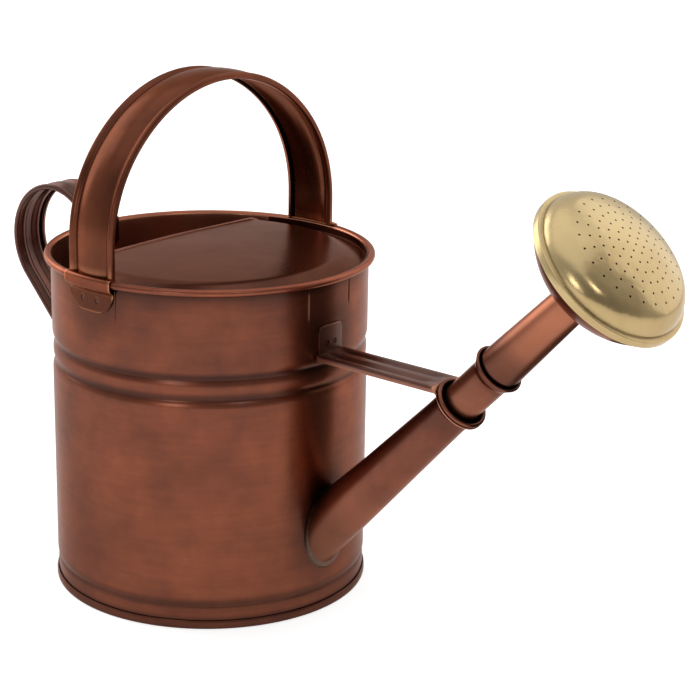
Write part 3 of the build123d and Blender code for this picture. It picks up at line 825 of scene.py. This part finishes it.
# ---------------------------------------------------------------- spout brace
# A channel-edged strip with two grooves. A tab is welded to the wall at one end,
# and an eye at the other holds the spout's bell behind the rolled lip.
brace_line = 160.66
brace_half = 12.1
brace_start = 95.9
brace_length = 110
brace_tab_half = 9.8
brace_tab_top = 177.4
brace_tab_corner = 3.5
brace_weld_side = 3.3
brace_weld_up = 5.9
eye_radius = 15.9
eye_corner = 19.3
eye_front = lower_mouth - 1.4
eye_centre = spout_foot + spout_direction * eye_front
brace_copper = copper_finish(
    "brace_copper",
    dark=(0.10, 0.040, 0.028),
    middle=(0.155, 0.056, 0.036),
    bright=(0.23, 0.08, 0.046),
    grain=(1, 3, 3),
    worn=(0.46, 0.18, 0.10),
    coat=0.7,
)
brace = strip_section(
    [
        (2.2, 0, 0.7),
        (4.6, -1.4, 0.6),
        (6.2, -1.4, 0.6),
        (8.6, 0, 0.7),
        (11.4, 0.1, 0.5),
        (brace_half, -0.6, 0.5),
        (brace_half, -3.2, 0),
    ]
)
stand(brace, Vector((brace_start, 0, brace_line)), Vector((0, 1, 0)), Vector((0, 0, 1)))
draw_on(brace, brace.edges[:], (brace_length, 0, 0), 44)
for point in brace.verts:
    ends = (point.co.x / mm - brace_start) / 9, (177 - point.co.x / mm) / 12
    fade = min(1, max(0, min(ends)))
    fade = fade * fade * (3 - 2 * fade)
    if abs(point.co.y) < 9.5 * mm:
        point.co.z += (brace_line * mm - point.co.z) * (1 - fade)
bmesh.ops.bisect_plane(
    brace,
    geom=brace.verts[:] + brace.edges[:] + brace.faces[:],
    plane_co=(eye_centre - spout_direction * 0.5) * mm,
    plane_no=spout_direction,
    clear_outer=True,
)
bmesh.ops.recalc_face_normals(brace, faces=brace.faces)
brace_strip = make_piece("spout_brace_strip", brace, strip_gauge)
fit(brace_strip, brace_copper, "can", "copper_steel", "spout_brace")

eye_reach = (brace_line + strip_gauge / 2 - eye_centre.z) / cos(radians(spout_rise))
eye = spout_tube([(14.2, eye_front - 0.4, 0), (eye_radius, eye_front - 0.4, 0)], steps=144)
for point in eye.verts:
    ring = point.co.xy / mm
    if ring.length > eye_radius - 0.1 and ring.x < 0:
        toward = atan2(ring.y, -ring.x)
        side_reach = brace_half + strip_gauge / 2
        flat = min(eye_reach / max(cos(toward), 0.01), side_reach / max(abs(sin(toward)), 0.01))
        point.co.xy *= max(eye_radius, min(flat, eye_corner)) / eye_radius
bmesh.ops.transform(eye, matrix=along_spout, verts=eye.verts)
wall_tab = sheet_line([(tab_wall, brace_tab_top, 0), (tab_wall, brace_line - 0.3, 0)])[0]
bmesh.ops.subdivide_edges(wall_tab, edges=wall_tab.edges[:], cuts=12)
reach = degrees(asin(brace_tab_half / 95))
bmesh.ops.rotate(wall_tab, verts=wall_tab.verts, matrix=Matrix.Rotation(radians(-reach), 3, "Z"))
bmesh.ops.spin(
    wall_tab,
    geom=wall_tab.verts[:] + wall_tab.edges[:],
    cent=(0, 0, 0),
    axis=(0, 0, 1),
    angle=radians(2 * reach),
    steps=24,
)
for point in wall_tab.verts:
    inside = abs(point.co.y / mm) - (brace_tab_half - brace_tab_corner)
    if inside > 0:
        rounding = sqrt(brace_tab_corner**2 - min(inside, brace_tab_corner) ** 2)
        point.co.z = min(point.co.z, (brace_tab_top - brace_tab_corner + rounding) * mm)
bmesh.ops.recalc_face_normals(wall_tab, faces=wall_tab.faces)
for name, shape in (("spout_brace_eye", eye), ("spout_brace_tab", wall_tab)):
    end = make_piece(name, shape, strip_gauge)
    if name == "spout_brace_tab":
        sides = (-brace_weld_side, brace_weld_side)
        open_welds(end, [(tab_wall, side, brace_line + brace_weld_up) for side in sides], "Y")
    end.data.materials.append(brace_copper)
    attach(end, "can")


# ---------------------------------------------------------------- extension
# A short tube that pushes into the lower spout and can be turned there. Its own
# mouth is belled out for the rose's spigot.
extension_end = 302.76
upper_mouth = 308.66
extension = spout_tube(
    [
        (11.15, lower_mouth - 21, 0),
        (11.15, extension_end, 1.0),
        (13.3, extension_end + 3.5, 0.9),
        (13.3, upper_mouth, 0),
    ],
    lip=(0.6, 225),
)
bmesh.ops.transform(extension, matrix=along_spout, verts=extension.verts)
fit(
    make_piece("spout_extension_tube", extension, sheet_gauge),
    spout_copper,
    "extension",
    "copper_steel",
    "spout_extension",
)


# ---------------------------------------------------------------- rose
# A tapered stem with a reduced spigot, soldered to a shallow bowl. The bowl is
# closed by a perforated brass dome, whose skirt is rolled back over its edge.
stem_start = 310.46
stem_end = 381.96
cup_start = 380.46
cup_end = 404.46
cup_radius = 46.4
stem = spout_tube(
    [
        (10.5, stem_start - 31.2, 0),
        (10.5, stem_start - 4.2, 0.9),
        (12.3, stem_start, 0.9),
        (10.1, stem_end, 0),
    ],
)
bmesh.ops.transform(stem, matrix=along_spout, verts=stem.verts)
fit(make_piece("rose_stem_tube", stem, sheet_gauge), spout_copper, "rose", "copper_steel", "rose_stem")

cup_hole = 10.85
bowl_end = (cup_radius - tube_middle, cup_end - 3.0)
bowl_chord = hypot(bowl_end[0] - cup_hole, bowl_end[1] - cup_start)
bowl_bow = 5.0
bowl_radius = (bowl_chord**2 / 4 + bowl_bow**2) / (2 * bowl_bow)
bowl_turn = 2 * degrees(asin(bowl_chord / 2 / bowl_radius))
bowl_lean = atan2(bowl_end[1] - cup_start, bowl_end[0] - cup_hole)
bowl_middle = Vector(((bowl_end[0] + cup_hole) / 2, (bowl_end[1] + cup_start) / 2))
bowl_centre = bowl_middle + Vector((-sin(bowl_lean), cos(bowl_lean))) * (bowl_radius - bowl_bow)
bowl, bowl_start, bowl_first = sheet_line([(cup_hole, cup_start, 0), (cup_hole + 0.01, cup_start, 0)])
bmesh.ops.delete(bowl, geom=[bowl_first], context="VERTS")
bowl_rim = curl(bowl, bowl_start, bowl_centre, -bowl_turn, 22)
edge_top = bowl.verts.new(((cup_radius - tube_middle) * mm, 0, cup_end * mm))
bowl.edges.new((bowl_rim, edge_top))
spin_full(bowl, 144)
bmesh.ops.transform(bowl, matrix=along_spout, verts=bowl.verts)
fit(make_piece("rose_cup_bowl", bowl, sheet_gauge), spout_copper, "rose", "copper_steel", "rose_cup")

flange_place = 405.16
skirt_radius = 46.8
skirt_drop = 3.8
face_height = 18.6
crown_radius = 96.0
crown_reach = 35.0
crown_turn = degrees(asin(crown_reach / crown_radius))
apex = flange_place + face_height
hole_radius = 0.62
hole_pitch = 5.4
hole_counts = (6, 12, 18, 24, 24, 24)
face, face_apex, face_first = sheet_line([(0, apex, 0), (0.01, apex, 0)])
bmesh.ops.delete(face, geom=[face_first], context="VERTS")
shoulder = curl(face, face_apex, (0, apex - crown_radius), crown_turn, 14)
drop = curl(face, shoulder, (29.6, flange_place - 1.78), 52.2, 12)
rolled = [
    (43.85, flange_place + 1.0),
    (44.0, flange_place + 0.35),
    (44.45, flange_place),
    (46.1, flange_place),
    (46.65, flange_place - 0.2),
    (skirt_radius, flange_place - 0.75),
    (skirt_radius, flange_place - skirt_drop),
]
for across, up in rolled:
    following = face.verts.new((across * mm, 0, up * mm))
    face.edges.new((drop, following))
    drop = following
spin_full(face, 144)
rose_face = make_piece("rose_face_dome", face, sheet_gauge)
drills = bmesh.new()
rings = [(0, 1)] + [(ring * hole_pitch, count) for ring, count in enumerate(hole_counts, start=1)]
for radius, count in rings:
    for place in range(count):
        bearing = 2 * pi * place / count
        bmesh.ops.create_cone(
            drills,
            cap_ends=True,
            segments=12,
            radius1=hole_radius * mm,
            radius2=hole_radius * mm,
            depth=30 * mm,
            matrix=Matrix.Translation((radius * cos(bearing) * mm, radius * sin(bearing) * mm, apex * mm)),
        )
drill = make_piece("rose_drills", drills)
cut = rose_face.modifiers.new("perforations", "BOOLEAN")
cut.object = drill
cut.solver = "EXACT"
settle(rose_face)
bpy.data.objects.remove(drill)
rose_face.data.transform(along_spout)

brass = bpy.data.materials.new("rose_brass")
brass.use_nodes = True
nodes, links = brass.node_tree.nodes, brass.node_tree.links
surface = nodes["Principled BSDF"]
surface.inputs["Metallic"].default_value = 1.0
place = nodes.new("ShaderNodeTexCoord").outputs["Object"]
cloud = noise(nodes, links, place, 20, 4, 0.55)
tints = nodes.new("ShaderNodeValToRGB")
tints.color_ramp.elements[0].position = 0.35
tints.color_ramp.elements[0].color = (0.50, 0.355, 0.17, 1)
tints.color_ramp.elements[1].position = 0.65
tints.color_ramp.elements[1].color = (0.66, 0.50, 0.255, 1)
links.new(cloud, tints.inputs["Fac"])
# Painted shade: the brass is darkened where other surfaces are near, round the holes and the rolled edge.
corners = nodes.new("ShaderNodeAmbientOcclusion")
corners.samples = 8
corners.inputs["Distance"].default_value = 0.003
shaded_tints = blended(nodes, links, "MULTIPLY", 0.9, tints.outputs["Color"], corners.outputs["AO"])
links.new(shaded_tints, surface.inputs["Base Color"])
links.new(ranged(nodes, links, cloud, 0.3, 0.7, 0.17, 0.30), surface.inputs["Roughness"])
dents = nodes.new("ShaderNodeBump")
dents.inputs["Strength"].default_value = 0.30
dents.inputs["Distance"].default_value = 0.0022
links.new(noise(nodes, links, place, 42, 3), dents.inputs["Height"])
links.new(dents.outputs["Normal"], surface.inputs["Normal"])
fit(rose_face, brass, "rose", "brass_sheet", "rose_face")


# ---------------------------------------------------------------- welds, solder, wire
# Small solids as drawn: sunk spot welds, dull solder runs darkened by the patina,
# and the steel wire inside the rolled rim and hem.
weld_copper = copper_finish(
    "weld_copper",
    dark=(0.05, 0.018, 0.012),
    middle=(0.12, 0.04, 0.025),
    bright=(0.2, 0.07, 0.04),
    shine=(0.35, 0.5),
)
solder_grey = copper_finish(
    "solder_grey",
    dark=(0.07, 0.045, 0.035),
    middle=(0.15, 0.085, 0.06),
    bright=(0.24, 0.14, 0.1),
    shine=(0.3, 0.45),
)
wire_steel = copper_finish(
    "wire_steel",
    dark=(0.12, 0.1, 0.09),
    middle=(0.25, 0.22, 0.2),
    bright=(0.4, 0.37, 0.34),
    shine=(0.3, 0.45),
)
small_finishes = {
    "brace_welds": weld_copper,
    "carry_handle_welds": weld_copper,
    "rear_handle_welds": weld_copper,
    "base_solder": solder_grey,
    "cover_solder": solder_grey,
    "rose_solder": solder_grey,
    "spout_solder": solder_grey,
    "cover_wire": wire_steel,
    "rim_wire": wire_steel,
}
for node, finish in small_finishes.items():
    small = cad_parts[node]
    small.data.materials.clear()
    small.data.materials.append(finish)


# ---------------------------------------------------------------- floor, light, camera
# A plain pale floor, soft studio light, and a camera to the right of the spout's
# side, looking slightly down.
floor_mesh = bpy.data.meshes.new("floor")
sweep = bmesh.new()
bmesh.ops.create_circle(sweep, cap_ends=True, segments=64, radius=6.0)
sweep.to_mesh(floor_mesh)
sweep.free()
floor = bpy.data.objects.new("floor", floor_mesh)
bpy.context.scene.collection.objects.link(floor)
floor_paint = bpy.data.materials.new("floor_paint")
floor_paint.use_nodes = True
nodes, links = floor_paint.node_tree.nodes, floor_paint.node_tree.links
surface = nodes["Principled BSDF"]
surface.inputs["Base Color"].default_value = (0.86, 0.86, 0.86, 1)
surface.inputs["Roughness"].default_value = 0.9
surface.inputs["Emission Color"].default_value = (1, 1, 1, 1)
sight = nodes.new("ShaderNodeLightPath").outputs["Is Camera Ray"]
links.new(ranged(nodes, links, sight, 0, 1, 0.34, 0.62), surface.inputs["Emission Strength"])
floor_mesh.materials.append(floor_paint)

world = bpy.data.worlds.new("studio")
bpy.context.scene.world = world
world.use_nodes = True
nodes, links = world.node_tree.nodes, world.node_tree.links
backdrop = nodes["Background"]
backdrop.inputs["Color"].default_value = (1, 1, 1, 1)
bearing = nodes.new("ShaderNodeVectorMath")
bearing.operation = "DOT_PRODUCT"
bearing.inputs[1].default_value = (0.69, -0.72, 0.0)
links.new(nodes.new("ShaderNodeTexCoord").outputs["Generated"], bearing.inputs[0])
room = ranged(nodes, links, bearing.outputs["Value"], -0.5, 0.8, 0.66, 0.26)
sight = nodes.new("ShaderNodeLightPath").outputs["Is Camera Ray"]
seen = nodes.new("ShaderNodeMath")
seen.operation = "MAXIMUM"
links.new(room, seen.inputs[0])
links.new(sight, seen.inputs[1])
links.new(seen.outputs[0], backdrop.inputs["Strength"])
bpy.context.scene.view_settings.view_transform = "Standard"


def dark_flag(name, place, facing, width, height, shade):
    """A dark card that only reflections see, to model the metal's roundness."""
    card = bmesh.new()
    bmesh.ops.create_grid(card, x_segments=1, y_segments=1, size=0.5)
    bmesh.ops.scale(card, vec=(width, height, 1), verts=card.verts)
    turn = Vector(facing).to_track_quat("Z", "Y").to_matrix().to_4x4()
    bmesh.ops.transform(card, matrix=Matrix.Translation(place) @ turn, verts=card.verts)
    mesh = bpy.data.meshes.new(name)
    card.to_mesh(mesh)
    card.free()
    flag = bpy.data.objects.new(name, mesh)
    bpy.context.scene.collection.objects.link(flag)
    felt = bpy.data.materials.new(name)
    felt.use_nodes = True
    surface = felt.node_tree.nodes["Principled BSDF"]
    surface.inputs["Base Color"].default_value = (shade, shade, shade, 1)
    surface.inputs["Roughness"].default_value = 1
    mesh.materials.append(felt)
    flag.visible_camera = flag.visible_diffuse = flag.visible_shadow = False


dark_flag("flag_right", (0.235, 0.078, 0.098), (-0.88, -0.47, 0), 0.16, 0.196, 0.05)


def soft_light(name, place, power, size, colour=(1, 1, 1)):
    """A square soft box aimed at the middle of the can; place in metres."""
    lamp = bpy.data.lights.new(name, "AREA")
    lamp.energy, lamp.size, lamp.color = power, size, colour
    box = bpy.data.objects.new(name, lamp)
    bpy.context.scene.collection.objects.link(box)
    box.location = place
    box.rotation_mode = "QUATERNION"
    box.rotation_quaternion = (Vector((0.05, 0, 0.15)) - Vector(place)).to_track_quat("-Z", "Y")


soft_light("left", (-2.4, -0.2, 1.3), 22, 2.0)
soft_light("right", (1.0, 2.5, 1.5), 15, 2.8)
soft_light("top", (0.1, -0.3, 2.6), 17, 3.4)
soft_light("front", (0.7, -2.2, 0.75), 4, 0.6)
soft_light("sparkle", (1.43, -0.65, 1.04), 1.1, 0.3)

camera_bearing = 39.757
camera_dip = 17.195
camera_roll = 1.069
camera_data = bpy.data.cameras.new("camera")
camera_data.sensor_width = 36
camera_data.lens = 101.02
camera_data.clip_start = 0.05
camera = bpy.data.objects.new("camera", camera_data)
bpy.context.scene.collection.objects.link(camera)
camera.location = (0.79518, -0.82343, 0.4960)
camera.rotation_euler = (
    Matrix.Rotation(radians(camera_bearing), 4, "Z")
    @ Matrix.Rotation(radians(90 - camera_dip), 4, "X")
    @ Matrix.Rotation(radians(camera_roll), 4, "Z")
).to_euler()
bpy.context.scene.camera = camera
